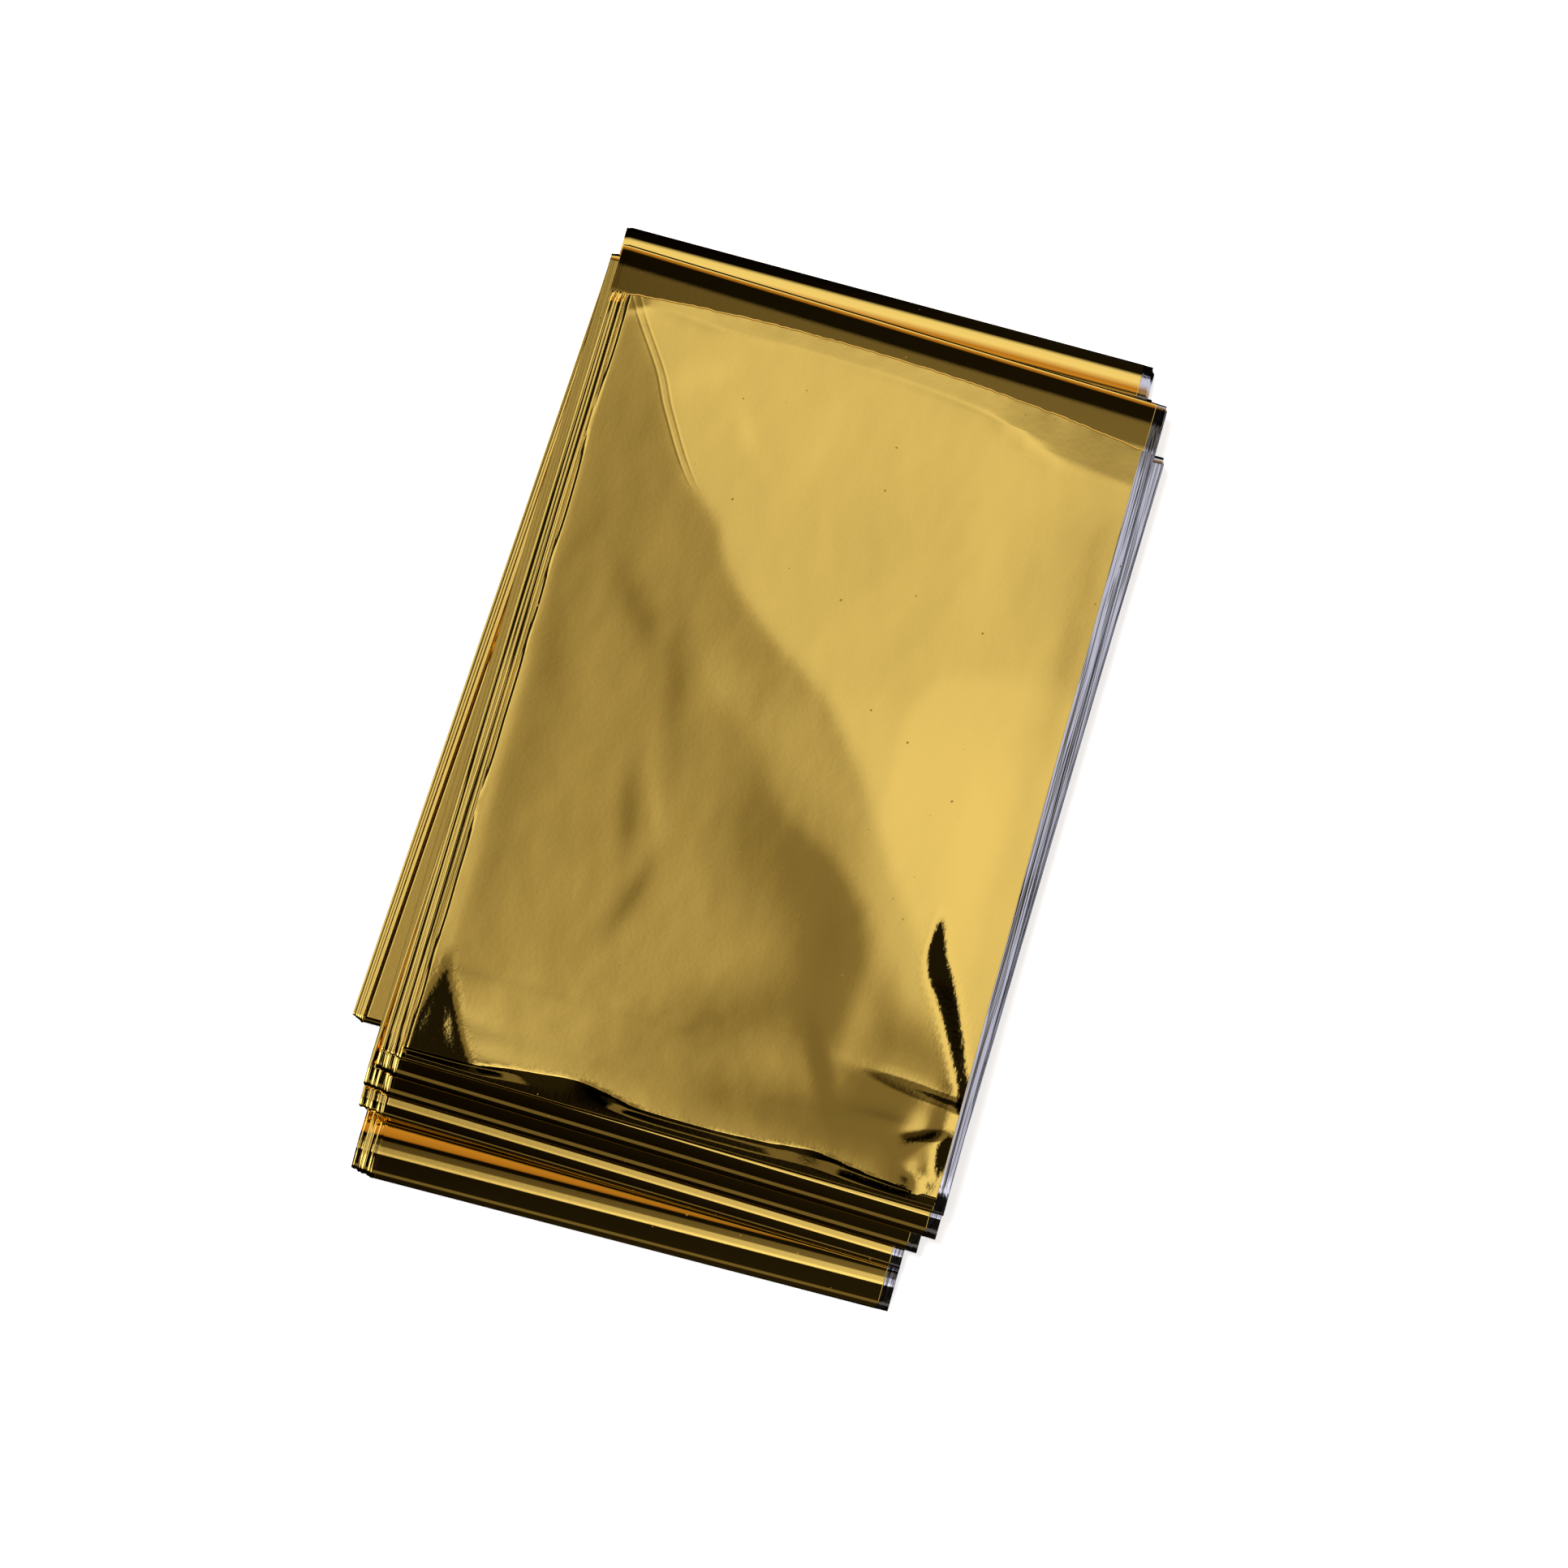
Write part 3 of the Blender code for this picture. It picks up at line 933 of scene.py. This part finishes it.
WARM_WALL_COLOUR = (1.0, 0.55, 0.15)
NEAR_WALL = ((-0.78, 0.0), (-0.73, 0.15), (-0.6, 0.15), (-0.57, 0.0))
LEFT_WALL = ((-0.85, 0.0), (-0.78, 0.8), (-0.28, 0.8), (-0.25, 0.0))
RIGHT_WALL = ((0.25, 0.0), (0.28, 0.8), (0.78, 0.8), (0.85, 0.0))
CORNER_LAMP = ((-0.8, 0.0), (-0.7, 1.2), (-0.25, 1.2), (-0.18, 0.0))
WALL_ENDS = ((-0.65, 0.0), (-0.55, 1.0), (0.55, 1.0), (0.65, 0.0))

# Up to a brightness of TINT_FROM all is tinted warm, and the tint is gone at TINT_OVER more
DIM_TINT = (1.0, 0.86, 0.58)
TINT_FROM = 0.05
TINT_OVER = 0.6

# What the camera itself sees behind the floor's edge, and the least height of a direction over straight
# down, which keeps its slopes finite
BACKDROP = (0.9, 0.9, 0.9)
LEAST_HEIGHT = 0.02


def tint(brightness):
    """Colour of a part of the studio, a little warmer where it is dimmer."""
    share = min(max((brightness - TINT_FROM) / TINT_OVER, 0.0), 1.0)
    return [brightness * mix(channel, 1.0, share) for channel in DIM_TINT]


class Sky(Graph):
    """A sky that is painted over the slopes, across and along the packet, of the film that mirrors it."""

    def __init__(self, tree):
        super().__init__(tree)
        place = self.nodes.new("ShaderNodeTexCoord")
        split = self.nodes.new("ShaderNodeSeparateXYZ")
        self.links.new(place.outputs["Generated"], split.inputs["Vector"])
        above = self.math("MAXIMUM", self.math("ADD", split.outputs["Z"], 1.0), LEAST_HEIGHT)
        self.across = self.math("DIVIDE", split.outputs["X"], above)
        self.along = self.math("DIVIDE", split.outputs["Y"], above)

    def stops(self, slope, table):
        """Brightness over a slope, straight from stop to stop. The ramp runs over slopes from -1 to 1."""
        node = self.nodes.new("ShaderNodeValToRGB")
        ramp = node.color_ramp
        for number, (at, brightness) in enumerate(table):
            if number < len(ramp.elements):
                stop = ramp.elements[number]
                stop.position = (at + 1) / 2
            else:
                stop = ramp.elements.new((at + 1) / 2)
            stop.color = (*tint(brightness), 1.0)
        self.links.new(self.math("MULTIPLY", self.math("ADD", slope, 1.0), 0.5), node.inputs["Fac"])
        return node.outputs["Color"]

    def patch(self, across_table, along_table, colour=WHITE):
        """The product of two brightnesses, one over the slope across and one over the slope along."""
        across, along = self.stops(self.across, across_table), self.stops(self.along, along_table)
        return self.vector_math("MULTIPLY", self.vector_math("MULTIPLY", across, along), colour)


def build_sky():
    world = bpy.data.worlds.new("studio")
    bpy.context.scene.world = world
    world.use_nodes = True
    sky = Sky(world.node_tree)
    lamp = sky.nodes["Background"]
    total = sky.patch(OVERHEAD_ACROSS, OVERHEAD_ALONG)
    others = (
        sky.patch(WALL_ENDS, FAR_WALL),
        sky.patch(WALL_ENDS, NEAR_WALL),
        sky.patch(WALL_ENDS, WARM_WALL, WARM_WALL_COLOUR),
        sky.patch(LEFT_WALL, WALL_ENDS),
        sky.patch(RIGHT_WALL, WALL_ENDS),
        sky.patch(CORNER_LAMP, CORNER_LAMP),
    )
    for other in others:
        total = sky.vector_math("ADD", total, other)
    seen = sky.nodes.new("ShaderNodeLightPath")
    shown = sky.nodes.new("ShaderNodeMix")
    shown.data_type = "VECTOR"
    sky.links.new(seen.outputs["Is Camera Ray"], shown.inputs["Factor"])
    sky.links.new(total, shown.inputs["A"])
    shown.inputs["B"].default_value = BACKDROP
    sky.links.new(shown.outputs["Result"], lamp.inputs["Color"])
    lamp.inputs["Strength"].default_value = 1.0


def build_key_light():
    data = bpy.data.lights.new("key", "SUN")
    data.energy = KEY_STRENGTH
    data.angle = KEY_SPREAD
    key = bpy.data.objects.new("key", data)
    bpy.context.scene.collection.objects.link(key)
    toward = Vector(KEY_DIRECTION).normalized()
    key.rotation_euler = toward.to_track_quat("-Z", "Y").to_euler()
    key.visible_glossy = False


# The camera looks straight down, and the packet is turned in its frame, which is this wide at the height
# given below
FRAME_WIDTH = 239.6
LENS = 400.0
SENSOR = 36.0
CAMERA_TURN = 15.3
CAMERA_OVER = (5.66, -0.59)
FRAME_HEIGHT = 12.0


def build_camera():
    data = bpy.data.cameras.new("camera")
    data.lens = LENS
    data.sensor_width = SENSOR
    camera = bpy.data.objects.new("camera", data)
    bpy.context.scene.collection.objects.link(camera)
    height = FRAME_HEIGHT + FRAME_WIDTH * LENS / SENSOR
    camera.location = Vector((*CAMERA_OVER, height)) * MM
    camera.rotation_euler = (0.0, 0.0, math.radians(CAMERA_TURN))
    bpy.context.scene.camera = camera


build_floor()
build_sky()
build_key_light()
build_camera()
bpy.context.scene.view_settings.view_transform = "Standard"
